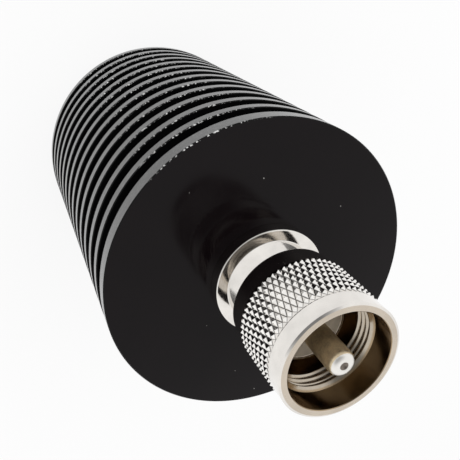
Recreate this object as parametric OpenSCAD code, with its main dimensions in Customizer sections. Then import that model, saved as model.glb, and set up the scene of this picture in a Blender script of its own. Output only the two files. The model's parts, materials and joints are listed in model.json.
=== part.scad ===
// Finned radio-frequency dummy load with a screw-on coaxial plug.
// The axis is +Z. The rear face of the heat sink stands on z = 0 and the plug points up.
// All lengths are in millimetres.

/* [Heat sink] */
// Diameter over the fins
sink_d = 53; // [44:0.5:64]
// Diameter of the solid core between the fins
core_d = 28; // [24:0.5:34]
// Thickness of the front plate that carries the plug
plate_t = 2.9; // [2:0.1:5]
// Thickness of each cooling fin
fin_t = 1.95; // [1.4:0.05:2.6]
// Clear width of the groove between two fins
fin_gap = 2.97; // [2.2:0.01:4]
// Number of cooling fins behind the front plate
fin_count = 13; // [12:1:20]
// Edge break on the rim of every fin and of the plate
rim_break = 0.1; // [0.05:0.05:0.5]

/* [Plug body] */
// Diameter of the threaded spigot that screws into the heat sink
spigot_d = 16; // [14:0.1:18]
// Length of the spigot inside the heat sink
spigot_len = 8; // [6:0.1:10]
// Height of the rim of the flange outside the front band of the nut
flange_rise = 0.25; // [0.1:0.05:0.6]
// Thickness of the flange
flange_t = 2.5; // [1.2:0.05:3]
// Width of the flat land on the flange, outside the collar
land_w = 1.9; // [1:0.02:2.2]
// Slope of the collar behind the nut, measured from the axis
collar_angle = 24; // [18:1:40]
// Outer diameter of the neck and of the mating shell
shell_d = 11.9; // [11:0.1:13]
// Wall of the mating shell around the head of the front bead
shell_wall = 0.65; // [0.4:0.05:1]
// Wall of the body around the long part of the front bead
bead_wall = 1.35; // [1.2:0.05:1.8]
// Length of the head of the front bead
bead_head = 2.5; // [1.5:0.1:3.5]
// Height of the seat of the front bead above the front plate
bead_seat = 2; // [1:0.1:4]
// Diameter of the air-filled line behind the front bead
line_d = 6.9; // [6:0.1:7.4]
// Thickness of the rear bead at the end of the spigot
rear_bead_t = 2.5; // [1.5:0.1:4]
// Wall of the spigot around the rear bead
spigot_wall = 3; // [2:0.1:3.4]
// Depth by which the mating shell lies below the rim of the nut
shell_recess = 8.9; // [7.5:0.1:9.5]

/* [Coupling nut] */
// Clear length of the neck between the flange and the nut
neck_len = 5.5; // [5:0.05:9]
// Length of the smooth rear band
rear_band = 3.7; // [2:0.1:5]
// Length of the knurled grip
grip_len = 9.4; // [8.5:0.1:14]
// Number of knurl points in one row around the grip
knurl_teeth = 62; // [40:1:72]
// Number of rows of knurl points along the grip
knurl_rows = 7; // [4:1:9]
// Depth of the diagonal grooves between the knurl points
knurl_h = 0.42; // [0.2:0.01:0.5]
// Height of the knurl points above the front band
grip_rise = 0.25; // [0.05:0.01:0.4]
// Length of the smooth front band
front_band = 3.3; // [2:0.1:6]
// Step from the front band down to the rear band
rear_step = 0.25; // [0.1:0.05:0.6]
// Wall of the nut outside the thread, at the front band
nut_wall = 1.31; // [1.1:0.01:2.5]
// Crest diameter of the inner thread
thread_d = 14.76; // [14.4:0.02:16]
// Depth of the inner thread
thread_h = 0.56; // [0.4:0.02:0.8]
// Length of the inner thread
thread_len = 4.3; // [3:0.1:5]
// Length of the plain mouth in front of the thread
mouth_len = 3.9; // [3:0.1:5]
// Length of the hub that turns on the neck
hub_len = 4.2; // [3:0.1:5]
// Bevel at the rear end of the nut and at the rear of its front band
nut_bevel = 0.3; // [0.2:0.05:0.7]
// Width of the shallow bevel around the front rim
rim_bevel_w = 0.35; // [0.1:0.05:0.7]
// Height of the shallow bevel around the front rim
rim_bevel_h = 0.17; // [0.05:0.01:0.4]
// Edge break at the mouth of the nut
mouth_break = 0.1; // [0.05:0.01:0.3]

/* [Snap ring] */
// Thickness of the ring along the axis
ring_t = 1; // [0.7:0.05:1.3]
// Depth of the ring inside the neck
ring_bite = 0.55; // [0.3:0.05:0.7]
// Height of the ring outside the neck
ring_proud = 0.8; // [0.5:0.05:1.2]
// Width of the split in the ring
ring_split = 2.5; // [1.5:0.1:5]

/* [Centre contact] */
// Diameter of the contact pin
pin_d = 4; // [3.6:0.05:4.4]
// Length by which the tip of the pin stands out of the rim of the nut
pin_proud = 0.8; // [0:0.05:2]
// Radius of the rounded edge at the tip
tip_round = 1.1; // [0.3:0.05:1.3]
// Diameter of the dimple in the tip
dimple_d = 1.3; // [0.6:0.1:1.8]
// Diameter of the shank behind the pin
shank_d = 3; // [2.4:0.05:3.4]

/* [Load resistor] */
// Diameter of the ceramic rod
rod_d = 6; // [5:0.1:7]
// Length of the ceramic rod
rod_len = 34; // [26:0.5:38]
// Length of the metal cap on each end of the rod
cap_len = 5; // [4:0.1:7]
// Wall of the metal caps
cap_wall = 0.3; // [0.2:0.05:0.5]
// Thickness of the base of the spring cups
cup_base = 3; // [2:0.1:4]
// Wall of the spring cups
cup_wall = 0.6; // [0.4:0.05:0.9]
// Length of the fingers of the spring cups
finger_len = 4.5; // [3:0.1:5]
// Width of the slots between the fingers
finger_slot = 0.7; // [0.4:0.05:1.2]
// Gap between the spigot and the front spring cup
cup_gap = 1.5; // [1.2:0.05:3]
// Step from the spigot hole down to the mouth of the resistor chamber
chamber_step = 1.1; // [0.8:0.05:2]
// Gap around the rear spring cup at the narrow end of the chamber
chamber_gap = 0.45; // [0.3:0.05:1]

/* [Fits] */
// Clearance of the nut on the neck, per side
running_clear = 0.05; // [0.02:0.01:0.1]
// Clearance of the threaded spigot in its hole, per side
thread_clear = 0.05; // [0.02:0.01:0.1]
// Clearance of pieces that slip into each other, per side
slip_clear = 0.02; // [0.01:0.01:0.05]
// Clearance beside the snap ring in its grooves
ring_clear = 0.06; // [0.04:0.01:0.12]
// Clearance around the snap ring in the groove of the nut
groove_clear = 0.3; // [0.2:0.05:0.5]
// Free space behind the end of the spigot
spigot_relief = 1; // [0.5:0.1:1.1]

/* [Hidden] */
$fn = 96;
// Overshoot of cutting shapes
cut = 1;

sink_r = sink_d / 2;
core_r = core_d / 2;
fin_pitch = fin_t + fin_gap;
// Height of the front face, on which the flange seats
face_z = fin_count * fin_pitch + plate_t;

thread_r = thread_d / 2;
mouth_r = thread_r + thread_h;
band_r = mouth_r + nut_wall;

spigot_r = spigot_d / 2;
flange_r = band_r + flange_rise;
collar_r = flange_r - land_w;
shell_r = shell_d / 2;
collar_h = (collar_r - shell_r) / tan(collar_angle);
flange_z = face_z + flange_t;
spigot_z = face_z - spigot_len;

nut_len = rear_band + grip_len + front_band;
nut_z = flange_z + neck_len;
rim_z = nut_z + nut_len;
grip_z = nut_z + rear_band;
band_z = grip_z + grip_len;
rear_r = band_r - rear_step;
knurl_r = band_r + grip_rise;
knurl_root_r = knurl_r - knurl_h;
knurl_row_h = grip_len / knurl_rows;
// Peaks and grooves take turns around the grip
knurl_columns = 2 * knurl_teeth;
// Overlap of the knurled sleeve with the core and the bands of the nut
sleeve_lap = 0.05;
nut_core_r = min(knurl_root_r, rear_r) - 2 * sleeve_lap;
hub_bore_r = shell_r + running_clear;
thread_z = rim_z - mouth_len - thread_len;

shell_z = rim_z - shell_recess;
bead_seat_z = face_z + bead_seat;
bead_r = shell_r - bead_wall;
bead_head_r = shell_r - shell_wall;
rear_bead_r = spigot_r - spigot_wall;
line_r = line_d / 2;
shank_r = shank_d / 2;
shank_hole_r = shank_r + slip_clear;

ring_z = nut_z + (hub_len - ring_t) / 2;
ring_in_r = shell_r - ring_bite;
ring_out_r = shell_r + ring_proud;

pin_r = pin_d / 2;
tip_z = rim_z + pin_proud;

rod_r = rod_d / 2;
cap_r = rod_r + cap_wall;
cup_in_r = cap_r + slip_clear;
cup_r = cup_in_r + cup_wall;
// The resistor stands between the two spring cups, front end up
front_cup_z = spigot_z - cup_gap - cup_base;
rod_top_z = front_cup_z - cap_wall;
rod_z = rod_top_z - rod_len;
rear_cup_z = rod_z - cap_wall;
socket_z = rear_cup_z - cup_base;
chamber_top_z = spigot_z - spigot_relief;
chamber_top_r = spigot_r - chamber_step;
chamber_end_z = rod_z - cap_wall + cap_len;
chamber_end_r = cup_r + chamber_gap;
socket_r = cup_r + slip_clear;

anodised = [0.12, 0.115, 0.12];
nickel = [0.80, 0.79, 0.77];
bead_tan = [0.55, 0.50, 0.45];
contact_grey = [0.66, 0.62, 0.56];
spring_brass = [0.78, 0.64, 0.36];
steel = [0.58, 0.59, 0.61];
ceramic_white = [0.90, 0.88, 0.82];

// Cylinder from z0 to z1, given by its radius
module rod_between(r, z0, z1) {
    translate([0, 0, z0]) cylinder(r = r, h = z1 - z0);
}

// Cone from radius r0 at z0 to radius r1 at z1
module cone_between(r0, z0, r1, z1) {
    translate([0, 0, z0]) cylinder(r1 = r0, r2 = r1, h = z1 - z0);
}

// Tube from z0 to z1, turned as one section
module tube_between(r_in, r_out, z0, z1) {
    rotate_extrude() translate([r_in, z0]) square([r_out - r_in, z1 - z0]);
}

// Round blank from z0 to z1 with bevelled edges
module bevelled_blank(r, z0, z1, bevel) {
    rotate_extrude()
        polygon([
            [0, z0], [r - bevel, z0], [r, z0 + bevel],
            [r, z1 - bevel], [r - bevel, z1], [0, z1]
        ]);
}

// Turned groove of a given width above z = 0, with bevelled outer edges
module fin_groove() {
    reach = rim_break + cut;
    rotate_extrude()
        polygon([
            [core_r, 0], [sink_r - rim_break, 0], [sink_r + cut, -reach],
            [sink_r + cut, fin_gap + reach], [sink_r - rim_break, fin_gap], [core_r, fin_gap]
        ]);
}

// Room for the snap ring between two radii, with its clearance above and below
module ring_groove(r_in, r_out) {
    tube_between(r_in, r_out, ring_z - ring_clear, ring_z + ring_t + ring_clear);
}

// Spring cup with a solid base below z = 0 and four fingers above it
module spring_cup(base_hole_r) {
    difference() {
        rod_between(cup_r, -cup_base, finger_len);
        rod_between(cup_in_r, 0, finger_len + cut);
        if (base_hole_r > 0)
            rod_between(base_hole_r, -cup_base - cut, cut);
        for (turn = [0, 90])
            rotate(turn)
                translate([-cup_r - cut, -finger_slot / 2, finger_slot])
                    cube([2 * (cup_r + cut), finger_slot, finger_len + cut]);
    }
}

// Metal cap on the end of the resistor, closed at z = 0 and open upwards
module resistor_cap() {
    difference() {
        rod_between(cap_r, 0, cap_len);
        rod_between(rod_r + slip_clear, cap_wall, cap_len + cut);
    }
}

// Turned aluminium heat sink with the spigot hole, the tapered chamber and the ground socket
module heat_sink() {
    color(anodised)
        difference() {
            bevelled_blank(sink_r, 0, face_z, rim_break);
            for (i = [0 : fin_count - 1])
                translate([0, 0, fin_t + i * fin_pitch]) fin_groove();
            rod_between(spigot_r + thread_clear, chamber_top_z, face_z + cut);
            cone_between(chamber_end_r, chamber_end_z, chamber_top_r, chamber_top_z + cut / 100);
            rod_between(socket_r, socket_z, chamber_end_z + cut / 100);
        }
}

// One turned piece: spigot, flange, sloping collar, neck and mating shell
module connector_body() {
    color(nickel)
        difference() {
            rotate_extrude()
                polygon([
                    [0, spigot_z], [spigot_r - thread_h, spigot_z], [spigot_r, spigot_z + thread_h],
                    [spigot_r, face_z], [flange_r, face_z], [flange_r, flange_z - rim_break],
                    [flange_r - rim_break, flange_z], [collar_r, flange_z], [shell_r, flange_z + collar_h],
                    [shell_r, shell_z - rim_break], [shell_r - rim_break, shell_z], [0, shell_z]
                ]);
            rod_between(bead_head_r + slip_clear, shell_z - bead_head, shell_z + cut);
            rod_between(bead_r + slip_clear, bead_seat_z, shell_z);
            rod_between(line_r, spigot_z - cut, bead_seat_z + cut);
            rod_between(rear_bead_r + slip_clear, spigot_z - cut, spigot_z + rear_bead_t);
            ring_groove(ring_in_r - ring_clear, shell_r + cut);
        }
}

// Height of a ring of knurl points above the start of the grip; the outermost rings are its ends
function knurl_height(row) = min(max((row - 0.5) * knurl_row_h, 0), grip_len);

// Radius of a knurl point: a peak or the bottom of a groove
function knurl_radius(row, column) =
    row == 0 || row > knurl_rows ? knurl_root_r : knurl_r - knurl_h * ((row + column) % 2);

// Place of a knurl point in the list of all points
function knurl_index(row, column) = row * knurl_columns + column % knurl_columns;

// Two faces between four neighbouring knurl points, split along the groove
function knurl_faces(row, column) =
    let (
        a = knurl_index(row, column),
        b = knurl_index(row, column + 1),
        c = knurl_index(row + 1, column + 1),
        d = knurl_index(row + 1, column)
    )
    (row + column) % 2 == 0 ? [[a, d, b], [b, d, c]] : [[a, c, b], [a, d, c]];

// Sleeve of the grip with its diamond knurl, from z = 0 up
module knurled_sleeve() {
    last = knurl_columns - 1;
    points = [
        for (row = [0 : knurl_rows + 1], column = [0 : last])
            let (r = knurl_radius(row, column), turn = 360 * column / knurl_columns)
                [r * cos(turn), r * sin(turn), knurl_height(row)]
    ];
    sides = [for (row = [0 : knurl_rows], column = [0 : last]) each knurl_faces(row, column)];
    low_end = [for (column = [0 : last]) knurl_index(0, column)];
    high_end = [for (column = [last : -1 : 0]) knurl_index(knurl_rows + 1, column)];
    polyhedron(points = points, faces = concat([low_end], sides, [high_end]));
}

// Coupling nut that turns on the neck, with its knurled grip, the plain mouth
// and the bore at the thread crests
module coupling_nut() {
    color(nickel)
        difference() {
            union() {
                rotate_extrude()
                    polygon([
                        [0, nut_z], [rear_r - nut_bevel, nut_z], [rear_r, nut_z + nut_bevel],
                        [rear_r, grip_z + sleeve_lap], [nut_core_r, grip_z + sleeve_lap],
                        [nut_core_r, band_z - sleeve_lap], [band_r, band_z + nut_bevel],
                        [band_r, rim_z - rim_bevel_h], [band_r - rim_bevel_w, rim_z], [0, rim_z]
                    ]);
                translate([0, 0, grip_z]) knurled_sleeve();
            }
            rod_between(hub_bore_r, nut_z - cut, nut_z + hub_len + cut);
            ring_groove(shell_r, ring_out_r + groove_clear);
            rod_between(thread_r, nut_z + hub_len, rim_z);
            rod_between(mouth_r, nut_z + hub_len, thread_z - thread_h);
            cone_between(mouth_r, thread_z - thread_h, thread_r, thread_z);
            cone_between(thread_r, thread_z + thread_len - thread_h, mouth_r, thread_z + thread_len);
            rod_between(mouth_r, thread_z + thread_len, rim_z + cut);
            cone_between(mouth_r, rim_z - mouth_break, mouth_r + mouth_break + cut, rim_z + cut);
        }
}

// Split spring ring that holds the nut on the neck
module snap_ring() {
    color(steel)
        difference() {
            tube_between(ring_in_r, ring_out_r, ring_z, ring_z + ring_t);
            translate([0, -ring_split / 2, ring_z - cut])
                cube([ring_out_r + cut, ring_split, ring_t + 2 * cut]);
        }
}

// Insulating bead that carries the pin, with a wider head in the mating shell
module front_bead() {
    color(bead_tan)
        difference() {
            union() {
                rod_between(bead_r, bead_seat_z, shell_z);
                rod_between(bead_head_r, shell_z - bead_head, shell_z);
            }
            rod_between(shank_hole_r, bead_seat_z - cut, shell_z + cut);
        }
}

// Contact pin with a rounded, dimpled tip and a long shank
module centre_pin() {
    color(contact_grey)
        difference() {
            union() {
                rod_between(shank_r, front_cup_z, shell_z);
                rod_between(pin_r, shell_z, tip_z - tip_round);
                rod_between(pin_r - tip_round, tip_z - tip_round, tip_z);
                rotate_extrude()
                    translate([pin_r - tip_round, tip_z - tip_round])
                        intersection() {
                            circle(tip_round);
                            square(tip_round);
                        }
            }
            cone_between(0, tip_z - dimple_d / 2, dimple_d, tip_z + dimple_d / 2);
        }
}

// Insulating bead at the end of the spigot
module rear_bead() {
    color(bead_tan)
        tube_between(shank_hole_r, rear_bead_r, spigot_z, spigot_z + rear_bead_t);
}

// Spring cup between the shank of the pin and the front cap of the resistor
module contact_cup() {
    color(spring_brass)
        translate([0, 0, front_cup_z]) mirror([0, 0, 1]) spring_cup(shank_hole_r);
}

// Ceramic rod with the resistive film
module resistor_rod() {
    color(ceramic_white) rod_between(rod_r, rod_z, rod_top_z);
}

// Cap on the live end of the resistor
module resistor_front_cap() {
    color(nickel)
        translate([0, 0, front_cup_z]) mirror([0, 0, 1]) resistor_cap();
}

// Cap on the grounded end of the resistor
module resistor_rear_cap() {
    color(nickel) translate([0, 0, rear_cup_z]) resistor_cap();
}

// Spring cup that grounds the resistor in the socket of the heat sink
module ground_cup() {
    color(spring_brass) translate([0, 0, rear_cup_z]) spring_cup(0);
}

heat_sink();
connector_body();
coupling_nut();
snap_ring();
front_bead();
centre_pin();
rear_bead();
contact_cup();
resistor_rod();
resistor_front_cap();
resistor_rear_cap();
ground_cup();
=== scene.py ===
"""Finned radio-frequency dummy load with a screw-on coaxial plug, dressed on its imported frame."""
import json
from math import atan2, cos, hypot, radians, sin, tan, tau

import bmesh
import bpy
from mathutils import Matrix, Vector

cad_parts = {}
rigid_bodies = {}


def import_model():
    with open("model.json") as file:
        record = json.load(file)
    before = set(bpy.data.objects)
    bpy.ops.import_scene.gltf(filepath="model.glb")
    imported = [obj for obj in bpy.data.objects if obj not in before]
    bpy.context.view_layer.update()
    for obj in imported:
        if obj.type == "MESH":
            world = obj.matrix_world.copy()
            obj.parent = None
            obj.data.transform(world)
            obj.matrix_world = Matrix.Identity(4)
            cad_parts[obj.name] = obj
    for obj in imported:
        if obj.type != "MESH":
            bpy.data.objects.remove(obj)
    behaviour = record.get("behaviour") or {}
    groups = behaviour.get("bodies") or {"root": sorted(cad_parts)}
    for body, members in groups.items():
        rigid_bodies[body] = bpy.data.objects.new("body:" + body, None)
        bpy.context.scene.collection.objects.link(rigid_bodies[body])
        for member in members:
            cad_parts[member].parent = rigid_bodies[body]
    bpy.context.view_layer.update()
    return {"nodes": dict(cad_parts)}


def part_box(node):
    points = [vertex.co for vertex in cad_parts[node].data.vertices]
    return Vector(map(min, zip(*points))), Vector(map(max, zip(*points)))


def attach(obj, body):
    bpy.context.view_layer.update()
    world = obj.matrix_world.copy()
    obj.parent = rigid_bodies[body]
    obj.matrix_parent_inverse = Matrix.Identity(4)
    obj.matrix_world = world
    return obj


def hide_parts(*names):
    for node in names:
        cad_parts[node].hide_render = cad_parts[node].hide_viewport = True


bl_info = {
    "name": "Finned dummy load",
    "version": (1, 0, 0),
    "blender": (4, 5, 0),
    "location": "3D View > Sidebar > Dummy load",
    "description": "Models the visible pieces of a finned dummy load and gives every piece its finish",
    "category": "Object",
}

# An empty scene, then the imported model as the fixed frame
for stray in list(bpy.data.objects):
    bpy.data.objects.remove(stray)
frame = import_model()

BOXES = {node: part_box(node) for node in frame["nodes"]}

MM = 0.001
IMAGE_PX = 460
# Arc steps of a rounded corner, merging distance and the angle from which an edge is sharp
ROUND_STEPS = 5
MERGE = 1e-7
SHARP = radians(20)
# Free height beside the snap ring, and depth to which the thread ridge is sunk in its wall
RING_GAP = 0.06 * MM
THREAD_FOOT = 0.08 * MM
# Factor and colours among the inputs of a Mix node, and its colour among the outputs
MIX_INPUTS = (0, 6, 7)
MIX_OUTPUT = 2
# Span in which most values of a noise lie, and that of the mean of two noises
NOISE_SPAN = (0.3, 0.7)
MEAN_SPAN = (0.25, 0.75)
# Step of the grain from the edge of a worn spot, or of a painted glint, to its middle
WEAR_AND_GLINT_STEP = 0.1


def node_radius(node):
    """Outer radius of a round CAD node that stands on the axis."""
    low, high = BOXES[node]
    return max(high.x, high.y, -low.x, -low.y)


def node_bottom(node):
    """Height of the lowest point of a CAD node."""
    return BOXES[node][0].z


def node_top(node):
    """Height of the highest point of a CAD node."""
    return BOXES[node][1].z


def length_property(name, description, millimetres):
    """A length in millimetres, as a property in metres."""
    return bpy.props.FloatProperty(
        name=name, description=description, default=millimetres * MM, min=0.0, unit="LENGTH",
        precision=5,
    )


def count_property(name, description, count, least):
    """A number of like features."""
    return bpy.props.IntProperty(name=name, description=description, default=count, min=least)


def angle_property(name, description, degrees):
    """An angle in degrees, as a property in radians."""
    return bpy.props.FloatProperty(
        name=name, description=description, default=radians(degrees), unit="ROTATION"
    )


def colour_property(name, description, colour):
    """A linear colour."""
    return bpy.props.FloatVectorProperty(
        name=name, description=description, default=colour, size=3, min=0.0, max=1.0, subtype="COLOR"
    )


class HeatSinkSizes(bpy.types.PropertyGroup):
    """Sizes of the turned heat sink that its box doesn't give"""

    fin_count: count_property("Fins", "Fins behind the front plate", 13, least=1)
    plate_t: length_property("Front plate", "Thickness of the front plate", 2.9)
    fin_t: length_property("Fin", "Thickness of a fin", 1.95)
    core_d: length_property("Core", "Diameter of the solid core between the fins", 28)
    rim_break: length_property("Edge break", "Bevel on the rim of every fin", 0.16)
    hole_d: length_property("Spigot hole", "Diameter of the hole for the spigot of the plug", 16.1)
    hole_relief: length_property("Hole relief", "Free depth of the hole behind the spigot", 1)
    chamber_top_d: length_property("Chamber mouth", "Wide diameter of the resistor chamber", 13.8)
    chamber_gap: length_property("Chamber gap", "Gap around the rear cup at the chamber's end", 0.45)
    socket_gap: length_property("Socket gap", "Clearance around the rear cup in its socket", 0.02)


class PlugSizes(bpy.types.PropertyGroup):
    """Sizes of the plug body and of its pin"""

    flange_t: length_property("Flange", "Thickness of the flange", 2.5)
    land_w: length_property("Land", "Width of the flat land on the flange", 1.9)
    collar_angle: angle_property("Collar slope", "Slope of the collar, from the axis", 24)
    shell_d: length_property("Neck", "Outer diameter of the neck and of the mating shell", 11.9)
    spigot_d: length_property("Spigot", "Diameter of the spigot inside the heat sink", 16)
    spigot_bevel: length_property("Spigot bevel", "Bevel at the end of the spigot", 0.56)
    line_d: length_property("Line", "Diameter of the air-filled line behind the bead", 6.9)
    bead_wall: length_property("Bead wall", "Wall around the long part of the bead", 1.33)
    bead_head: length_property("Bead head", "Length of the head of the bead", 2.5)
    bead_gap: length_property("Bead gap", "Clearance around the beads", 0.02)
    edge_round: length_property("Edge round", "Rounding of the plug's bright edges", 0.2)
    ring_clear: length_property("Ring gap", "Clearance around the snap ring in its groove", 0.06)
    ring_bite: length_property("Ring bite", "Depth of the ring groove in the neck", 0.61)
    tip_round: length_property("Tip round", "Radius of the rounded edge of the pin's tip", 1.1)
    dimple_d: length_property("Dimple", "Diameter of the dimple in the pin's tip", 1.3)
    shank_d: length_property("Shank", "Diameter of the shank behind the pin", 3)


class NutSizes(bpy.types.PropertyGroup):
    """Sizes of the coupling nut, its knurl and its thread"""

    rear_band: length_property("Rear band", "Length of the smooth rear band", 3.7)
    grip_len: length_property("Grip", "Length of the knurled grip", 9.4)
    grip_rise: length_property("Grip rise", "Height of the knurl points above the front band", 0.25)
    rear_step: length_property("Rear step", "Step from the front band down to the rear band", 0.25)
    bevel: length_property("Bevel", "Bevel at the rear end and at the rear of the front band", 0.3)
    rim_bevel_w: length_property("Rim bevel width", "Width of the bevel around the front rim", 0.35)
    rim_bevel_h: length_property("Rim bevel height", "Height of the bevel around the front rim", 0.17)
    hub_len: length_property("Hub", "Length of the hub that turns on the neck", 4.2)
    hub_d: length_property("Hub bore", "Diameter of the hub's bore", 12)
    groove_d: length_property("Ring groove", "Diameter of the groove for the snap ring", 14.1)
    mouth_d: length_property("Mouth", "Diameter of the plain mouth, at the roots of the thread", 15.88)
    mouth_len: length_property("Mouth length", "Length of the plain mouth", 3.9)
    mouth_break: length_property("Mouth edge", "Break of the edge between the mouth and the rim", 0.1)
    thread_d: length_property("Thread", "Crest diameter of the inner thread", 14.76)
    thread_len: length_property("Thread length", "Length of the inner thread", 4.3)
    thread_pitch: length_property("Thread pitch", "Axial distance from crest to crest", 1.058)
    lip_flat: length_property("Lip flat", "Flat behind the lead-in lip of the thread", 0.16)
    crest_flat: length_property("Crest flat", "Flat width on the thread crests", 0.13)
    knurl_teeth: count_property("Knurl teeth", "Peaks in one row", 62, least=8)
    knurl_rows: count_property("Knurl rows", "Rows of peaks", 7, least=2)
    knurl_depth: length_property("Knurl depth", "Depth of the grooves between the peaks", 0.42)
    peak_flat: length_property("Peak flat", "Cut-back of the peaks' points", 0.09)


class FinishColours(bpy.types.PropertyGroup):
    """Colours of the finishes"""

    face_black: colour_property("Face", "Black of the polished front plate", (0.0034, 0.002, 0.0025))
    fin_black: colour_property("Fins", "Black between the fins", (0.002, 0.002, 0.0022))
    rim_grey: colour_property("Rims", "Turned rims of the fins", (0.092, 0.092, 0.092))
    # The fin edges are dark between painted glints; the bright metal below paints worn spots on the
    # rims and glints on the edges
    edge_grey: colour_property("Fin edges", "Fin edges between their worn spots", (0.008, 0.008, 0.008))
    wear_and_glint_metal: colour_property("Worn metal", "Worn spots on rims and edges", (0.72, 0.72, 0.71))
    dust_grey: colour_property("Dust", "Specks of dust on the front plate", (0.24, 0.23, 0.22))
    nickel: colour_property("Nickel", "Bright plating", (0.82, 0.79, 0.75))
    knurl_nickel: colour_property("Knurl", "Bright points of the knurl", (0.93, 0.91, 0.88))
    # Painted shade in the knurl's grooves, darkest at their roots
    groove_shade: colour_property("Grooves", "Dark residue between the points", (0.04, 0.036, 0.03))
    thread_nickel: colour_property("Thread", "Plating on the crests of the thread", (0.50, 0.44, 0.36))
    # Painted shade inside the nut: on the plain mouth, the hub's face and the roots of the thread
    mouth_shade: colour_property("Mouth", "Dark oily plating inside the nut", (0.40, 0.30, 0.19))
    rim_nickel: colour_property("Nut rim", "Turned front rim of the nut", (0.62, 0.545, 0.455))
    contact: colour_property("Contact", "Satin plating of the pin", (0.74, 0.60, 0.41))
    tip_silver: colour_property("Tip", "Bright tip of the pin", (0.88, 0.86, 0.82))
    # The dimple is painted a dull grey, darker than the tip
    dimple_grey: colour_property("Dimple", "Worn dimple in the tip of the pin", (0.22, 0.19, 0.165))
    bead_tan: colour_property("Bead", "Insulating beads", (0.45, 0.39, 0.31))
    brass: colour_property("Brass", "Spring cups", (0.70, 0.52, 0.25))
    steel: colour_property("Steel", "Snap ring", (0.52, 0.53, 0.54))
    film: colour_property("Film", "Resistive film on the ceramic rod", (0.22, 0.17, 0.12))


class StageSizes(bpy.types.PropertyGroup):
    """Camera and floor"""

    camera_place: bpy.props.FloatVectorProperty(
        name="Camera", description="Place of the camera", size=3, subtype="XYZ", unit="LENGTH",
        default=(0.295 * MM, -58.69 * MM, 139.21 * MM),
    )
    camera_pitch: angle_property("Pitch", "Angle of the view below the horizon", 52.36)
    camera_roll: angle_property("Roll", "Turn of the camera about its view", 139.0)
    focal_px: bpy.props.FloatProperty(
        name="Focal length", description="In pixels of the photograph", default=557.9
    )
    centre_px: bpy.props.FloatVectorProperty(
        name="Optical centre", description="In pixels of the photograph", size=2, default=(254.5, 266.5)
    )
    floor_size: length_property("Floor", "Side of the square floor", 1600)


SETTINGS = {
    "dummy_load_sink": HeatSinkSizes,
    "dummy_load_plug": PlugSizes,
    "dummy_load_nut": NutSizes,
    "dummy_load_colours": FinishColours,
    "dummy_load_stage": StageSizes,
}


# Node helpers


def place(tree, kind, inputs=None, **settings):
    """Adds a node, sets it up, and links its inputs or sets them to constants."""
    node = tree.nodes.new(kind)
    for name, value in settings.items():
        setattr(node, name, value)
    for socket, value in (inputs or {}).items():
        if isinstance(value, bpy.types.NodeSocket):
            tree.links.new(value, node.inputs[socket])
        else:
            node.inputs[socket].default_value = value
    return node


def math_node(tree, operation, first, second=0.0, clamp=False):
    """Output of one Math node."""
    node = place(tree, "ShaderNodeMath", {0: first, 1: second}, operation=operation, use_clamp=clamp)
    return node.outputs[0]


def dot_product(tree, vector, direction):
    """Output of a Vector Math node: how far a vector reaches in a direction."""
    node = place(tree, "ShaderNodeVectorMath", {0: vector, 1: direction}, operation="DOT_PRODUCT")
    return node.outputs["Value"]


def remap(tree, value, low, high, to_low, to_high):
    """Output of a clamped Map Range node."""
    inputs = {"Value": value, "From Min": low, "From Max": high, "To Min": to_low, "To Max": to_high}
    return place(tree, "ShaderNodeMapRange", inputs).outputs["Result"]


def mix_colours(tree, factor, first, second):
    """Output of a colour Mix node."""
    inputs = dict(zip(MIX_INPUTS, (factor, first, second)))
    return place(tree, "ShaderNodeMix", inputs, data_type="RGBA").outputs[MIX_OUTPUT]


def opaque(colour, factor=1.0):
    """A colour property as a colour with alpha, scaled by a factor."""
    return tuple(min(1.0, c * factor) for c in colour) + (1.0,)


def shades(tree, factor, colour, low, high):
    """A colour that changes between two multiples of itself."""
    return mix_colours(tree, factor, opaque(colour, low), opaque(colour, high))


def start_group(name, inputs, outputs):
    """A shader node group with its sockets; returns the tree and its input and output nodes."""
    tree = bpy.data.node_groups.new(name, "ShaderNodeTree")
    for socket, kind in inputs:
        tree.interface.new_socket(socket, in_out="INPUT", socket_type=kind)
    for socket in outputs:
        tree.interface.new_socket(socket, in_out="OUTPUT", socket_type="NodeSocketFloat")
    return tree, place(tree, "NodeGroupInput"), place(tree, "NodeGroupOutput")


def axis_distance(tree, axes):
    """Distance from the common axis, from separated coordinates."""
    squares = [math_node(tree, "MULTIPLY", axes[i], axes[i]) for i in (0, 1)]
    return math_node(tree, "SQRT", math_node(tree, "ADD", *squares))


def turning_marks():
    """Fine uneven rings left by a lathe, by radius on end faces and by height on round sides."""
    name = "turning_marks"
    if name in bpy.data.node_groups:
        return bpy.data.node_groups[name]
    inputs = (
        ("Vector", "NodeSocketVector"), ("Lines per metre", "NodeSocketFloat"),
        ("Along axis", "NodeSocketFloat"),
    )
    tree, given, result = start_group(name, inputs, ("Height",))
    axes = place(tree, "ShaderNodeSeparateXYZ", {0: given.outputs["Vector"]}).outputs
    radius = axis_distance(tree, axes)
    along = given.outputs["Along axis"]
    by_height = math_node(tree, "MULTIPLY", axes[2], along)
    by_radius = math_node(tree, "MULTIPLY", radius, math_node(tree, "SUBTRACT", 1.0, along))
    where = math_node(tree, "ADD", by_height, by_radius)
    counted = math_node(tree, "MULTIPLY", where, given.outputs["Lines per metre"])
    noise = place(
        tree, "ShaderNodeTexNoise", {"W": counted, "Scale": 1.0, "Detail": 3.0, "Roughness": 0.6},
        noise_dimensions="1D",
    )
    tree.links.new(noise.outputs[0], result.inputs["Height"])
    return tree


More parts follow.
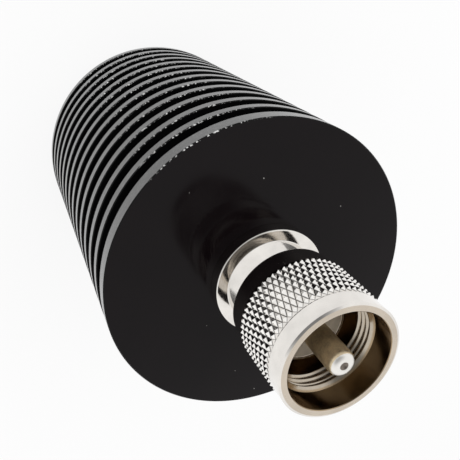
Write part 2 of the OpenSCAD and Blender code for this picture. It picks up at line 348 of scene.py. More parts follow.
def smudges():
    """Soft cloudy change over the surface, from 0 to 1."""
    name = "smudges"
    if name in bpy.data.node_groups:
        return bpy.data.node_groups[name]
    inputs = (("Vector", "NodeSocketVector"), ("Patches per metre", "NodeSocketFloat"))
    tree, given, result = start_group(name, inputs, ("Value",))
    noise = place(
        tree, "ShaderNodeTexNoise",
        {"Vector": given.outputs["Vector"], "Scale": given.outputs["Patches per metre"], "Detail": 4.0},
    )
    spread = remap(tree, noise.outputs[0], *NOISE_SPAN, 0.0, 1.0)
    tree.links.new(spread, result.inputs["Value"])
    return tree


def specks():
    """Sparse tiny dots: 1 inside a dot, 0 elsewhere."""
    name = "specks"
    if name in bpy.data.node_groups:
        return bpy.data.node_groups[name]
    inputs = (
        ("Vector", "NodeSocketVector"), ("Cells per metre", "NodeSocketFloat"),
        ("Share", "NodeSocketFloat"), ("Size", "NodeSocketFloat"),
    )
    tree, given, result = start_group(name, inputs, ("Mask",))
    cells = place(
        tree, "ShaderNodeTexVoronoi",
        {"Vector": given.outputs["Vector"], "Scale": given.outputs["Cells per metre"]},
    )
    near = math_node(tree, "LESS_THAN", cells.outputs["Distance"], given.outputs["Size"])
    draw = place(tree, "ShaderNodeSeparateColor", {0: cells.outputs["Color"]}).outputs[0]
    chosen = math_node(tree, "LESS_THAN", draw, given.outputs["Share"])
    tree.links.new(math_node(tree, "MULTIPLY", near, chosen), result.inputs["Mask"])
    return tree


def use_group(tree, group, inputs):
    """Output of a node group placed in a material."""
    return place(tree, "ShaderNodeGroup", inputs, node_tree=group).outputs[0]


def lathe_rings(tree, where, per_metre, along):
    """Turning marks of one surface, by its radius or, with along at 1, by its height."""
    return use_group(
        tree, turning_marks(), {"Vector": where, "Lines per metre": per_metre, "Along axis": along}
    )


def patches(tree, where, per_metre):
    """Smudges of one surface."""
    return use_group(tree, smudges(), {"Vector": where, "Patches per metre": per_metre})


def grains(tree, where, per_metre, detail):
    """Fine even noise of one surface."""
    inputs = {"Vector": where, "Scale": per_metre, "Detail": detail}
    return place(tree, "ShaderNodeTexNoise", inputs).outputs[0]


def start_material(name, **constants):
    """A material with one Principled shader; returns material, tree, shader and Object coordinates."""
    material = bpy.data.materials.new(name)
    material.use_nodes = True
    tree = material.node_tree
    tree.nodes.clear()
    output = place(tree, "ShaderNodeOutputMaterial")
    shader = place(tree, "ShaderNodeBsdfPrincipled")
    for socket, value in constants.items():
        shader.inputs[socket.replace("_", " ")].default_value = value
    tree.links.new(shader.outputs[0], output.inputs["Surface"])
    where = place(tree, "ShaderNodeTexCoord").outputs["Object"]
    return material, tree, shader, where


def feed(tree, shader, **sockets):
    """Links varying values to a shader's sockets."""
    for socket, value in sockets.items():
        tree.links.new(value, shader.inputs[socket.replace("_", " ")])


def bump(tree, height, strength, depth):
    """Normal from a height, with the depth in metres."""
    inputs = {"Height": height, "Strength": strength, "Distance": depth}
    return place(tree, "ShaderNodeBump", inputs).outputs[0]


def marked_metal(name, colour, roughness, lines, along, mark_depth, tint=0.12):
    """Plated or bare metal with lathe marks, faint smudges and uneven gloss."""
    material, tree, shader, where = start_material(name, Metallic=1.0)
    marks = lathe_rings(tree, where, per_metre=lines, along=along)
    cloud = patches(tree, where, per_metre=260.0)
    gloss = math_node(tree, "MULTIPLY", math_node(tree, "ADD", cloud, marks), 0.5)
    feed(
        tree, shader,
        Base_Color=shades(tree, cloud, colour, low=1.0 - tint, high=1.0 + tint / 3),
        Roughness=remap(tree, gloss, *MEAN_SPAN, *roughness),
        Normal=bump(tree, marks, strength=1.0, depth=mark_depth),
    )
    return material


def painted_shade_plating(name, bright, dark, dark_r, bright_r):
    """Plating with painted shade: its own colour at one radius, turning dark towards another."""
    material, tree, shader, where = start_material(name, Metallic=1.0)
    axes = place(tree, "ShaderNodeSeparateXYZ", {0: where}).outputs
    cloud = patches(tree, where, per_metre=900.0)
    # Painted shade: 0 at the dark radius, 1 at the bright radius
    unshaded = remap(tree, axis_distance(tree, axes), dark_r, bright_r, 0.0, 1.0)
    plate = shades(tree, cloud, bright, low=0.88, high=1.04)
    dull = math_node(tree, "SUBTRACT", cloud, unshaded)
    feed(
        tree, shader,
        Base_Color=mix_colours(tree, unshaded, opaque(dark), plate),
        Roughness=remap(tree, dull, -1.0, 1.0, to_low=0.05, to_high=0.36),
    )
    return material


def front_plate_finish(colours):
    """Polished black anodising with a few specks of dust and faint lathe rings."""
    material, tree, shader, where = start_material("anodised_front", Specular_IOR_Level=0.135)
    dust = use_group(
        tree, specks(), {"Vector": where, "Cells per metre": 400.0, "Share": 0.22, "Size": 0.045}
    )
    cloud = patches(tree, where, per_metre=90.0)
    marks = lathe_rings(tree, where, per_metre=9000.0, along=0.0)
    black = shades(tree, cloud, colours.face_black, low=0.85, high=1.15)
    feed(
        tree, shader,
        Base_Color=mix_colours(tree, dust, black, opaque(colours.dust_grey)),
        Roughness=remap(tree, cloud, 0.0, 1.0, to_low=0.09, to_high=0.15),
        Normal=bump(tree, marks, strength=0.25, depth=0.4e-6),
    )
    return material


def fin_finish(colours):
    """Black anodising on the sides of the fins and on the core."""
    material, tree, shader, where = start_material("anodised_fins", Specular_IOR_Level=0.04)
    cloud = patches(tree, where, per_metre=150.0)
    marks = lathe_rings(tree, where, per_metre=6000.0, along=0.0)
    feed(
        tree, shader,
        Base_Color=shades(tree, cloud, colours.fin_black, low=0.7, high=1.0),
        Roughness=remap(tree, marks, *NOISE_SPAN, to_low=0.4, to_high=0.55),
        Normal=bump(tree, marks, strength=0.5, depth=1e-6),
    )
    return material


def rim_finish(name, colour, wear_and_glint_colour, wear_and_glint_from, wear_and_glint_share, specular=0.5, glint_side=None):
    """Thinly anodised rims: satin grey, with worn spots all round, or with painted glints only towards
    a given side.
    """
    material, tree, shader, where = start_material(name, Metallic=0.55, Specular_IOR_Level=specular)
    marks = lathe_rings(tree, where, per_metre=7000.0, along=1.0)
    cloud = patches(tree, where, per_metre=120.0)
    grain = grains(tree, where, per_metre=2600.0, detail=2.0)
    wear_and_glint = remap(tree, grain, wear_and_glint_from, wear_and_glint_from + WEAR_AND_GLINT_STEP, 0.0, wear_and_glint_share)
    # Painted glints: with a side given, the bright spots are kept only towards it, where light would
    # glint
    if glint_side:
        toward, reach_from, reach_full = glint_side
        reach = dot_product(tree, where, toward)
        wear_and_glint = math_node(tree, "MULTIPLY", wear_and_glint, remap(tree, reach, reach_from, reach_full, 0.0, 1.0))
    grey = shades(tree, cloud, colour, low=0.8, high=1.2)
    feed(
        tree, shader,
        Base_Color=mix_colours(tree, wear_and_glint, grey, opaque(wear_and_glint_colour)),
        Roughness=remap(tree, marks, *NOISE_SPAN, to_low=0.14, to_high=0.27),
        Normal=bump(tree, marks, strength=0.6, depth=1.5e-6),
    )
    return material


def contact_finish(name, colour):
    """Dull, finely mottled plating of the pin."""
    material, tree, shader, where = start_material(name, Metallic=1.0)
    grain = grains(tree, where, per_metre=3600.0, detail=5.0)
    cloud = patches(tree, where, per_metre=700.0)
    dull = shades(tree, cloud, colour, low=0.72, high=1.15)
    mottle = remap(tree, grain, low=0.4, high=0.7, to_low=0.0, to_high=0.5)
    feed(
        tree, shader,
        Base_Color=mix_colours(tree, mottle, dull, opaque(colour, factor=1.5)),
        Roughness=remap(tree, grain, *NOISE_SPAN, to_low=0.36, to_high=0.52),
        Normal=bump(tree, grain, strength=0.35, depth=6e-6),
    )
    return material


def bead_finish(name, colour):
    """Matt moulded insulator with a faint grain."""
    material, tree, shader, where = start_material(name, Specular_IOR_Level=0.4)
    cloud = patches(tree, where, per_metre=420.0)
    marks = lathe_rings(tree, where, per_metre=4500.0, along=0.0)
    feed(
        tree, shader,
        Base_Color=shades(tree, cloud, colour, low=0.82, high=1.12),
        Roughness=remap(tree, marks, *NOISE_SPAN, to_low=0.34, to_high=0.5),
        Normal=bump(tree, marks, strength=0.5, depth=2e-6),
    )
    return material


# Mesh helpers


def turned(outline, steps, closed=False):
    """A bmesh spun from an outline of (radius, height) or (radius, height, corner radius) points."""
    mesh = bmesh.new()
    points = [mesh.verts.new((p[0], 0.0, p[1])) for p in outline]
    pairs = list(zip(points, points[1:]))
    if closed:
        pairs.append((points[-1], points[0]))
    for pair in pairs:
        mesh.edges.new(pair)
    rounds = {}
    for point, corner in zip(points, outline):
        if len(corner) > 2:
            rounds.setdefault(corner[2], []).append(point)
    for radius, corners in rounds.items():
        bmesh.ops.bevel(
            mesh, geom=corners, offset=radius, offset_type="OFFSET", segments=ROUND_STEPS,
            profile=0.5, affect="VERTICES", material=-1,
        )
    bmesh.ops.spin(
        mesh, geom=mesh.verts[:] + mesh.edges[:], cent=(0, 0, 0), axis=(0, 0, 1), angle=tau,
        steps=steps, use_merge=True,
    )
    bmesh.ops.remove_doubles(mesh, verts=mesh.verts, dist=MERGE)
    bmesh.ops.recalc_face_normals(mesh, faces=mesh.faces)
    for face in mesh.faces:
        face.smooth = True
    return mesh


def finish_piece(mesh, name, body, slot, materials, *nodes):
    """Turns a bmesh into a piece that rides on a body and stands for CAD nodes."""
    data = bpy.data.meshes.new(name)
    mesh.to_mesh(data)
    mesh.free()
    data.set_sharp_from_angle(angle=SHARP)
    for material in materials:
        data.materials.append(material)
    piece = bpy.data.objects.new(name, data)
    bpy.context.collection.objects.link(piece)
    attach(piece, body)
    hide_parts(*nodes)


def paint_faces(mesh, choose):
    """Sets each face's material from its centre radius, centre height and normal."""
    for face in mesh.faces:
        centre = face.calc_center_median()
        face.material_index = choose(hypot(centre.x, centre.y), centre.z, face.normal)


def repaint_node(node, material):
    """Gives a CAD node's object one material."""
    piece = frame["nodes"][node]
    piece.data.materials.clear()
    piece.data.materials.append(material)


# Operators


class DUMMY_LOAD_OT_heat_sink(bpy.types.Operator):
    """Turn the heat sink with its fins, its spigot hole and its resistor chamber"""

    bl_idname = "dummy_load.heat_sink"
    bl_label = "Heat sink"

    STEPS = 240
    FACE, SIDES, RIMS, EDGES = range(4)
    # Share of the bevel outside which a face is a rim, and upright part of a side's normal
    RIM_MARGIN = 0.25
    UPRIGHT = 0.9
    # Side towards which the fins' edges carry painted glints, and reach towards it where these start
    # and are full
    GLINT_TOWARD = (-0.25, -0.97, 0.0)
    GLINT_REACH = (24.2 * MM, 25.7 * MM)

    def execute(self, context):
        sizes = context.scene.dummy_load_sink
        colours = context.scene.dummy_load_colours
        face_z = node_top("heat_sink")
        sink_r = node_radius("heat_sink")
        mesh = turned(self.outline(sizes, sink_r, face_z), self.STEPS)
        rim_line = sink_r - sizes.rim_break * self.RIM_MARGIN

        def choose(radius, height, normal):
            if height > face_z - MERGE:
                return self.FACE
            if radius > rim_line:
                return self.RIMS
            if radius > sink_r - sizes.rim_break and abs(normal.z) < self.UPRIGHT:
                return self.EDGES
            return self.SIDES

        paint_faces(mesh, choose)
        materials = (
            front_plate_finish(colours),
            fin_finish(colours),
            rim_finish(
                "turned_rims", colours.rim_grey, colours.wear_and_glint_metal, wear_and_glint_from=0.55, wear_and_glint_share=0.06
            ),
            # Fin edges: dark, with painted glints of bright metal towards one side
            rim_finish(
                "edges_painted_glints", colours.edge_grey, colours.wear_and_glint_metal, wear_and_glint_from=0.55, wear_and_glint_share=0.9,
                specular=0.1, glint_side=(self.GLINT_TOWARD, *self.GLINT_REACH),
            ),
        )
        finish_piece(mesh, "finned_heat_sink", "load", "black_anodised", materials, "heat_sink")
        return {"FINISHED"}

    @staticmethod
    def outline(sizes, sink_r, face_z):
        """Half section, from the centre of the rear face round to the bottom of the socket."""
        core_r = sizes.core_d / 2
        hole_r = sizes.hole_d / 2
        pitch = (face_z - sizes.plate_t) / sizes.fin_count
        edge = sizes.rim_break
        points = [(0, 0), (sink_r - edge, 0), (sink_r, edge)]
        for fin in range(sizes.fin_count):
            fin_top = fin * pitch + sizes.fin_t
            next_fin = (fin + 1) * pitch
            points += [
                (sink_r, fin_top - edge), (sink_r - edge, fin_top), (core_r, fin_top),
                (core_r, next_fin), (sink_r - edge, next_fin), (sink_r, next_fin + edge),
            ]
        cup_r = node_radius("ground_cup")
        hole_z = node_bottom("connector_body") - sizes.hole_relief
        narrow_z = node_top("resistor_rear_cap")
        socket_z = node_bottom("ground_cup")
        socket_r = cup_r + sizes.socket_gap
        return points + [
            (sink_r, face_z - edge), (sink_r - edge, face_z), (hole_r, face_z), (hole_r, hole_z),
            (sizes.chamber_top_d / 2, hole_z), (cup_r + sizes.chamber_gap, narrow_z),
            (socket_r, narrow_z), (socket_r, socket_z), (0, socket_z),
        ]


class DUMMY_LOAD_OT_plug_body(bpy.types.Operator):
    """Turn the plated plug body with its flange, collar, neck and mating shell"""

    bl_idname = "dummy_load.plug_body"
    bl_label = "Plug body"

    STEPS = 192
    OUTSIDE, SHELL = range(2)

    def execute(self, context):
        sizes = context.scene.dummy_load_plug
        colours = context.scene.dummy_load_colours
        mesh = turned(self.outline(sizes), self.STEPS, closed=True)
        shell_top = node_top("connector_body") - 2 * sizes.edge_round
        inner_r = node_radius("front_bead") + sizes.bead_wall

        def choose(radius, height, normal):
            return self.SHELL if height > shell_top and radius < inner_r else self.OUTSIDE

        paint_faces(mesh, choose)
        materials = (
            marked_metal(
                "polished_nickel", colours.nickel, roughness=(0.05, 0.13), lines=5000.0, along=0.0,
                mark_depth=0.3e-6,
            ),
            marked_metal(
                "shell_nickel", colours.rim_nickel, roughness=(0.16, 0.3), lines=6000.0, along=0.0,
                mark_depth=1e-6,
            ),
        )
        finish_piece(mesh, "plug_body", "load", "bright_plate", materials, "connector_body")
        return {"FINISHED"}

    @staticmethod
    def outline(sizes):
        """Half section, from the line's rear end round the outside and back through the bores."""
        face_z = node_top("heat_sink")
        spigot_z = node_bottom("connector_body")
        shell_z = node_top("connector_body")
        flange_r = node_radius("connector_body")
        flange_z = face_z + sizes.flange_t
        collar_r = flange_r - sizes.land_w
        shell_r = sizes.shell_d / 2
        spigot_r = sizes.spigot_d / 2
        collar_z = flange_z + (collar_r - shell_r) / tan(sizes.collar_angle)
        line_r = sizes.line_d / 2
        rear_r = node_radius("rear_bead") + sizes.bead_gap
        rear_z = node_top("rear_bead")
        seat_z = node_bottom("front_bead")
        bead_r = shell_r - sizes.bead_wall
        head_r = node_radius("front_bead") + sizes.bead_gap
        head_z = shell_z - sizes.bead_head
        ring_r = shell_r - sizes.ring_bite
        ring_low = node_bottom("snap_ring") - sizes.ring_clear
        ring_high = node_top("snap_ring") + sizes.ring_clear
        edge = sizes.edge_round
        return [
            (rear_r, spigot_z), (spigot_r - sizes.spigot_bevel, spigot_z),
            (spigot_r, spigot_z + sizes.spigot_bevel), (spigot_r, face_z),
            (flange_r, face_z, edge / 2), (flange_r, flange_z, edge),
            (collar_r, flange_z, edge / 2), (shell_r, collar_z), (shell_r, ring_low),
            (ring_r, ring_low), (ring_r, ring_high), (shell_r, ring_high), (shell_r, shell_z, edge),
            (head_r, shell_z, edge / 2), (head_r, head_z), (bead_r, head_z), (bead_r, seat_z),
            (line_r, seat_z), (line_r, rear_z), (rear_r, rear_z),
        ]


class DUMMY_LOAD_OT_coupling_nut(bpy.types.Operator):
    """Turn the coupling nut, cut its diamond knurl and wind its inner thread"""

    bl_idname = "dummy_load.coupling_nut"
    bl_label = "Coupling nut"

    KNURL, BAND, MOUTH, RIM, THREAD = range(5)
    # Shares of the knurl's depth and of the thread's depth between which the painted shade gives way to
    # bright plating
    KNURL_BRIGHT = 0.22
    THREAD_DARK = 0.2
    THREAD_BRIGHT = 0.55
    # Half of the thread ridge's foot, as a share of the pitch
    RIDGE_HALF = 0.46

    def execute(self, context):
        sizes = context.scene.dummy_load_nut
        colours = context.scene.dummy_load_colours
        steps = 2 * sizes.knurl_teeth
        peak_r = node_radius("coupling_nut")
        rim_z = node_top("coupling_nut")
        grip_z = node_bottom("coupling_nut") + sizes.rear_band
        row_h = sizes.grip_len / sizes.knurl_rows
        rows = [grip_z + (row + 0.5) * row_h for row in range(sizes.knurl_rows)]
        mesh = turned(self.outline(sizes, rows), steps, closed=True)
        self.cut_knurl(mesh, sizes, rows, peak_r, steps)
        self.wind_thread(mesh, sizes, steps)
        mouth_r = sizes.mouth_d / 2
        inside_r = mouth_r + sizes.mouth_break
        # The flat faces of the plain bore all lie outside this radius
        wall_r = mouth_r * cos(tau / steps)
        root_r = peak_r - sizes.knurl_depth
        thread_h = mouth_r - sizes.thread_d / 2
        hub_z = node_bottom("coupling_nut") + sizes.hub_len
        # The knurl's painted groove shade stops halfway between the last row and the front band
        clean_z = (rows[-1] + grip_z + sizes.grip_len) / 2

        def choose(radius, height, normal):
            if radius < inside_r:
                if height < hub_z - MERGE:
                    return self.BAND
                return self.THREAD if radius < wall_r and height > hub_z + MERGE else self.MOUTH
            if height > rim_z - MERGE:
                return self.RIM
            return self.KNURL if grip_z < height < clean_z else self.BAND

        paint_faces(mesh, choose)
        materials = (
            # Painted shade: the knurl darkens from its points to the roots of its grooves
            painted_shade_plating(
                "knurled_nickel", colours.knurl_nickel, colours.groove_shade,
                dark_r=root_r, bright_r=root_r + self.KNURL_BRIGHT * sizes.knurl_depth,
            ),
            marked_metal(
                "band_nickel", colours.nickel, roughness=(0.05, 0.13), lines=7000.0, along=1.0,
                mark_depth=0.8e-6,
            ),
            # Painted shade: the plain mouth and the hub's face inside the nut are painted dark brown
            marked_metal(
                "mouth_plating", colours.mouth_shade, roughness=(0.12, 0.24), lines=6000.0, along=1.0,
                mark_depth=0.6e-6, tint=0.3,
            ),
            marked_metal(
                "rim_nickel", colours.rim_nickel, roughness=(0.22, 0.34), lines=7000.0, along=0.0,
                mark_depth=1.2e-6,
            ),
            # Painted shade: the thread darkens from its crests to its roots
            painted_shade_plating(
                "thread_plating", colours.thread_nickel, colours.mouth_shade,
                dark_r=mouth_r - self.THREAD_DARK * thread_h,
                bright_r=mouth_r - self.THREAD_BRIGHT * thread_h,
            ),
        )
        finish_piece(mesh, "knurled_nut", "nut", "bright_plate", materials, "coupling_nut")
        return {"FINISHED"}

    @staticmethod
    def outline(sizes, rows):
        """Closed half section, from the hub's bore round the outside and back through the mouth."""
        peak_r = node_radius("coupling_nut")
        nut_z = node_bottom("coupling_nut")
        rim_z = node_top("coupling_nut")
        band_r = peak_r - sizes.grip_rise
        rear_r = band_r - sizes.rear_step
        root_r = peak_r - sizes.knurl_depth
        grip_z = nut_z + sizes.rear_band
        band_z = grip_z + sizes.grip_len
        hub_r = sizes.hub_d / 2
        mouth_r = sizes.mouth_d / 2
        crest_r = sizes.thread_d / 2
        thread_h = mouth_r - crest_r
        lip_z = rim_z - sizes.mouth_len
        hub_z = nut_z + sizes.hub_len
        ring_low = node_bottom("snap_ring") - RING_GAP
        ring_high = node_top("snap_ring") + RING_GAP
        return [
            (hub_r, nut_z), (rear_r, nut_z, sizes.bevel), (rear_r, grip_z), (root_r, grip_z),
            *[(root_r, row) for row in rows],
            (root_r, band_z), (band_r, band_z + sizes.bevel), (band_r, rim_z - sizes.rim_bevel_h),
            (band_r - sizes.rim_bevel_w, rim_z), (mouth_r + sizes.mouth_break, rim_z),
            (mouth_r, rim_z - sizes.mouth_break), (mouth_r, lip_z),
            (crest_r, lip_z - thread_h), (crest_r, lip_z - thread_h - sizes.lip_flat),
            (mouth_r, lip_z - 2 * thread_h), (mouth_r, hub_z), (hub_r, hub_z), (hub_r, ring_high),
            (sizes.groove_d / 2, ring_high), (sizes.groove_d / 2, ring_low), (hub_r, ring_low),
        ]

    @staticmethod
    def cut_knurl(mesh, sizes, rows, peak_r, steps):
        """Raises every second point of the grip, so that diagonal grooves leave rows of pyramids."""
        peaks = []
        grip_faces = set()
        low, high = rows[0] - MERGE, rows[-1] + MERGE
        row_h = rows[1] - rows[0]
        root_r = peak_r - sizes.knurl_depth
        for point in mesh.verts:
            if not low < point.co.z < high or hypot(point.co.x, point.co.y) < root_r - MERGE:
                continue
            column = round(atan2(point.co.y, point.co.x) / tau * steps)
            row = round((point.co.z - rows[0]) / row_h)
            grip_faces.update(point.link_faces)
            if (column + row) % 2 == 1:
                peaks.append(point)
                scale = peak_r / hypot(point.co.x, point.co.y)
                point.co = Vector((point.co.x * scale, point.co.y * scale, point.co.z))
        cut = bmesh.ops.triangulate(mesh, faces=list(grip_faces), quad_method="SHORT_EDGE")
        for face in cut["faces"]:
            face.smooth = False
        bmesh.ops.bevel(
            mesh, geom=peaks, offset=sizes.peak_flat, offset_type="OFFSET", segments=1, profile=0.5,
            affect="VERTICES", material=-1,
        )

    @classmethod
    def wind_thread(cls, mesh, sizes, steps):
        """Winds a closed ridge as the thread, its foot sunk in the wall and its start in the lip."""
        ridge = bmesh.new()
        mouth_r = sizes.mouth_d / 2
        foot_r = mouth_r + THREAD_FOOT
        crest_r = sizes.thread_d / 2
        half = sizes.thread_pitch * cls.RIDGE_HALF
        flat = sizes.crest_flat / 2
        start_z = node_top("coupling_nut") - sizes.mouth_len - 2 * (mouth_r - crest_r)
        turns = sizes.thread_len / sizes.thread_pitch - 1
        section = [(foot_r, -half), (crest_r, -flat), (crest_r, flat), (foot_r, half)]
        points = [ridge.verts.new((r, 0, start_z + z)) for r, z in section]
        for pair in zip(points, points[1:] + points[:1]):
            ridge.edges.new(pair)
        count = round(turns * steps)
        bmesh.ops.spin(
            ridge, geom=ridge.verts[:] + ridge.edges[:], cent=(0, 0, 0), axis=(0, 0, 1),
            dvec=(0, 0, -sizes.thread_pitch / steps), angle=tau * count / steps, steps=count,
        )
        bmesh.ops.holes_fill(ridge, edges=[edge for edge in ridge.edges if edge.is_boundary])
        bmesh.ops.recalc_face_normals(ridge, faces=ridge.faces)
        for face in ridge.faces:
            face.smooth = True
        wound = bpy.data.meshes.new("thread_ridge")
        ridge.to_mesh(wound)
        ridge.free()
        mesh.from_mesh(wound)
        bpy.data.meshes.remove(wound)


class DUMMY_LOAD_OT_centre_pin(bpy.types.Operator):
    """Turn the contact pin with its rounded, dimpled tip and its shank"""

    bl_idname = "dummy_load.centre_pin"
    bl_label = "Centre pin"

    STEPS = 96
    PLATED, TIP, DIMPLE = range(3)
    # Share of the tip's rounding that is bright, and part of the dimple's radius that rounds its lip
    BRIGHT_SHARE = 0.35
    LIP_PART = 3

    def execute(self, context):
        sizes = context.scene.dummy_load_plug
        colours = context.scene.dummy_load_colours
        pin_r = node_radius("centre_pin")
        tip_z = node_top("centre_pin")
        shoulder_z = node_top("connector_body")
        shank_r = sizes.shank_d / 2
        dimple_r = sizes.dimple_d / 2
        outline = [
            (0, node_bottom("centre_pin")), (shank_r, node_bottom("centre_pin")), (shank_r, shoulder_z),
            (pin_r, shoulder_z), (pin_r, tip_z, sizes.tip_round),
            (dimple_r, tip_z, dimple_r / self.LIP_PART), (0, tip_z - dimple_r),
        ]
        mesh = turned(outline, self.STEPS)
        bright_z = tip_z - sizes.tip_round * self.BRIGHT_SHARE

        def choose(radius, height, normal):
            if radius < dimple_r and height > shoulder_z:
                return self.DIMPLE
            return self.TIP if height > bright_z else self.PLATED

        paint_faces(mesh, choose)
        materials = (
            contact_finish("pin_plating", colours.contact),
            marked_metal(
                "bright_tip", colours.tip_silver, roughness=(0.3, 0.46), lines=9000.0, along=0.0,
                mark_depth=2e-6,
            ),
            # The dimple is painted darker than the tip
            contact_finish("dark_dimple", colours.dimple_grey),
        )
        finish_piece(mesh, "contact_pin", "load", "contact_plate", materials, "centre_pin")
        return {"FINISHED"}


class DUMMY_LOAD_OT_inner_pieces(bpy.types.Operator):
    """Give the beads, the resistor, the spring cups and the snap ring their finishes"""

    bl_idname = "dummy_load.inner_pieces"
    bl_label = "Inner pieces"

    def execute(self, context):
        colours = context.scene.dummy_load_colours
        bead = bead_finish("moulded_bead", colours.bead_tan)
        brass = marked_metal(
            "spring_brass_plain", colours.brass, roughness=(0.2, 0.36), lines=3000.0, along=1.0,
            mark_depth=1e-6,
        )
        caps = marked_metal(
            "cap_nickel", colours.nickel, roughness=(0.18, 0.3), lines=3000.0, along=1.0,
            mark_depth=1e-6,
        )
        finishes = {
            "front_bead": bead,
            "rear_bead": bead,
            "contact_cup": brass,
            "ground_cup": brass,
            "resistor_front_cap": caps,
            "resistor_rear_cap": caps,
            "resistor_rod": bead_finish("resistive_film", colours.film),
            "snap_ring": marked_metal(
                "ring_steel", colours.steel, roughness=(0.24, 0.4), lines=2500.0, along=1.0,
                mark_depth=1e-6,
            ),
        }
        for node, material in finishes.items():
            repaint_node(node, material)
        return {"FINISHED"}


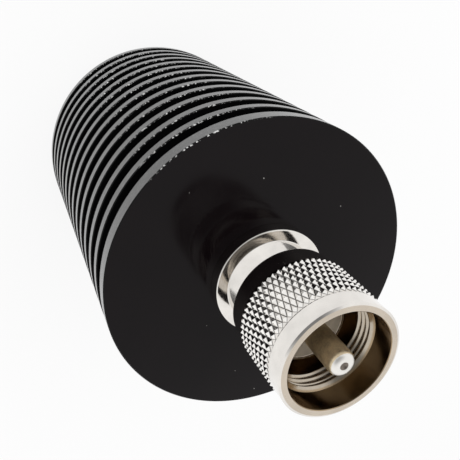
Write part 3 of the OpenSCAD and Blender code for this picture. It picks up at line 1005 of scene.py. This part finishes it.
class DUMMY_LOAD_OT_stage(bpy.types.Operator):
    """Set up the pale floor, the soft light and the camera"""

    bl_idname = "dummy_load.stage"
    bl_label = "Stage"

    FLOOR_WHITE = 0.85
    AMBIENT = 0.88
    # A dim ceiling: the direction of its middle, the cosines of its soft edge, and its level
    CEILING_TOWARD = (0.0, -0.45, 0.89)
    CEILING_EDGE = (0.74, 0.91)
    CEILING = 0.25
    LAMPS = (
        # name, place, size and power of each soft lamp
        ("key_lamp", (-0.35, -0.25, 0.45), 0.80, 2.4),
        ("fill_lamp", (0.40, -0.10, 0.30), 0.80, 1.1),
    )

    def execute(self, context):
        settings = context.scene.dummy_load_stage
        context.scene.view_settings.view_transform = "Standard"
        self.make_floor(settings)
        self.make_world(context.scene)
        for lamp in self.LAMPS:
            self.make_lamp(*lamp)
        self.make_camera(context.scene, settings)
        return {"FINISHED"}

    @staticmethod
    def seen_directly(tree):
        """1 for rays from the camera, a mirror or glass, 0 for rays that light the object."""
        path = place(tree, "ShaderNodeLightPath").outputs
        seen = math_node(tree, "ADD", path["Is Camera Ray"], path["Is Glossy Ray"])
        return math_node(tree, "ADD", seen, path["Is Transmission Ray"], clamp=True)

    def make_floor(self, settings):
        """A square floor, white to the eye and pale to the light, that keeps the shadow."""
        mesh = bmesh.new()
        bmesh.ops.create_grid(mesh, x_segments=1, y_segments=1, size=settings.floor_size / 2)
        data = bpy.data.meshes.new("floor")
        mesh.to_mesh(data)
        mesh.free()
        floor = bpy.data.objects.new("floor", data)
        bpy.context.collection.objects.link(floor)
        material = bpy.data.materials.new("pale_floor")
        material.use_nodes = True
        tree = material.node_tree
        tree.nodes.clear()
        pale = place(tree, "ShaderNodeBsdfDiffuse", {"Color": (self.FLOOR_WHITE,) * 3 + (1.0,)})
        white = place(tree, "ShaderNodeEmission", {"Color": (1, 1, 1, 1), "Strength": 1.0})
        share = math_node(tree, "MULTIPLY", self.seen_directly(tree), self.FLOOR_WHITE)
        mixed = place(tree, "ShaderNodeMixShader", {0: share, 1: pale.outputs[0], 2: white.outputs[0]})
        place(tree, "ShaderNodeOutputMaterial", {"Surface": mixed.outputs[0]})
        data.materials.append(material)

    def make_world(self, scene):
        """An even white sky with the dim ceiling."""
        world = bpy.data.worlds.new("soft_white")
        world.use_nodes = True
        tree = world.node_tree
        tree.nodes.clear()
        toward = place(tree, "ShaderNodeTexCoord").outputs["Generated"]
        overhead = dot_product(tree, toward, self.CEILING_TOWARD)
        dimming = remap(tree, overhead, *self.CEILING_EDGE, 1.0, self.CEILING)
        level = remap(tree, self.seen_directly(tree), 0.0, 1.0, self.AMBIENT, 1.0)
        strength = math_node(tree, "MULTIPLY", dimming, level)
        sky = place(tree, "ShaderNodeBackground", {"Color": (1, 1, 1, 1), "Strength": strength})
        place(tree, "ShaderNodeOutputWorld", {"Surface": sky.outputs[0]})
        scene.world = world

    @staticmethod
    def make_lamp(name, where, size, power):
        """A soft lamp that points at the front plate and stays out of mirror reflections."""
        data = bpy.data.lights.new(name, "AREA")
        data.size = size
        data.energy = power
        lamp = bpy.data.objects.new(name, data)
        lamp.location = where
        lamp.visible_glossy = False
        target = Vector((0, 0, node_top("heat_sink")))
        lamp.rotation_euler = (target - lamp.location).to_track_quat("-Z", "Y").to_euler()
        bpy.context.collection.objects.link(lamp)

    @staticmethod
    def make_camera(scene, settings):
        """The camera of the photograph, with the shift of its optical centre."""
        data = bpy.data.cameras.new("camera")
        data.lens = settings.focal_px * data.sensor_width / IMAGE_PX
        data.shift_x = (IMAGE_PX / 2 - settings.centre_px[0]) / IMAGE_PX
        data.shift_y = (settings.centre_px[1] - IMAGE_PX / 2) / IMAGE_PX
        data.clip_start = 1 * MM
        camera = bpy.data.objects.new("camera", data)
        view = Vector((0, cos(settings.camera_pitch), -sin(settings.camera_pitch)))
        level = view.to_track_quat("-Z", "Y").to_matrix().to_4x4()
        roll = Matrix.Rotation(settings.camera_roll, 4, "Z")
        camera.matrix_world = Matrix.Translation(settings.camera_place) @ level @ roll
        bpy.context.collection.objects.link(camera)
        scene.camera = camera


OPERATORS = (
    DUMMY_LOAD_OT_stage,
    DUMMY_LOAD_OT_heat_sink,
    DUMMY_LOAD_OT_plug_body,
    DUMMY_LOAD_OT_coupling_nut,
    DUMMY_LOAD_OT_centre_pin,
    DUMMY_LOAD_OT_inner_pieces,
)


class DUMMY_LOAD_PT_panel(bpy.types.Panel):
    """Sidebar panel with the sizes, the colours and the steps"""

    bl_idname = "DUMMY_LOAD_PT_panel"
    bl_label = "Dummy load"
    bl_space_type = "VIEW_3D"
    bl_region_type = "UI"
    bl_category = "Dummy load"

    def draw(self, context):
        for operator in OPERATORS:
            self.layout.operator(operator.bl_idname)
        for name, group in SETTINGS.items():
            box = self.layout.box()
            for field in group.__annotations__:
                box.prop(getattr(context.scene, name), field)


def register():
    """Registers the classes and hangs the settings on the scene."""
    for group in SETTINGS.values():
        bpy.utils.register_class(group)
    for name, group in SETTINGS.items():
        setattr(bpy.types.Scene, name, bpy.props.PointerProperty(type=group))
    for operator in OPERATORS:
        bpy.utils.register_class(operator)
    bpy.utils.register_class(DUMMY_LOAD_PT_panel)


def unregister():
    """Takes the settings off the scene and unregisters the classes."""
    bpy.utils.unregister_class(DUMMY_LOAD_PT_panel)
    for operator in reversed(OPERATORS):
        bpy.utils.unregister_class(operator)
    for name in SETTINGS:
        delattr(bpy.types.Scene, name)
    for group in SETTINGS.values():
        bpy.utils.unregister_class(group)


def main():
    """Registers the add-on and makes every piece."""
    register()
    bpy.ops.dummy_load.stage()
    bpy.ops.dummy_load.heat_sink()
    bpy.ops.dummy_load.plug_body()
    bpy.ops.dummy_load.coupling_nut()
    bpy.ops.dummy_load.centre_pin()
    bpy.ops.dummy_load.inner_pieces()


if __name__ == "__main__":
    main()
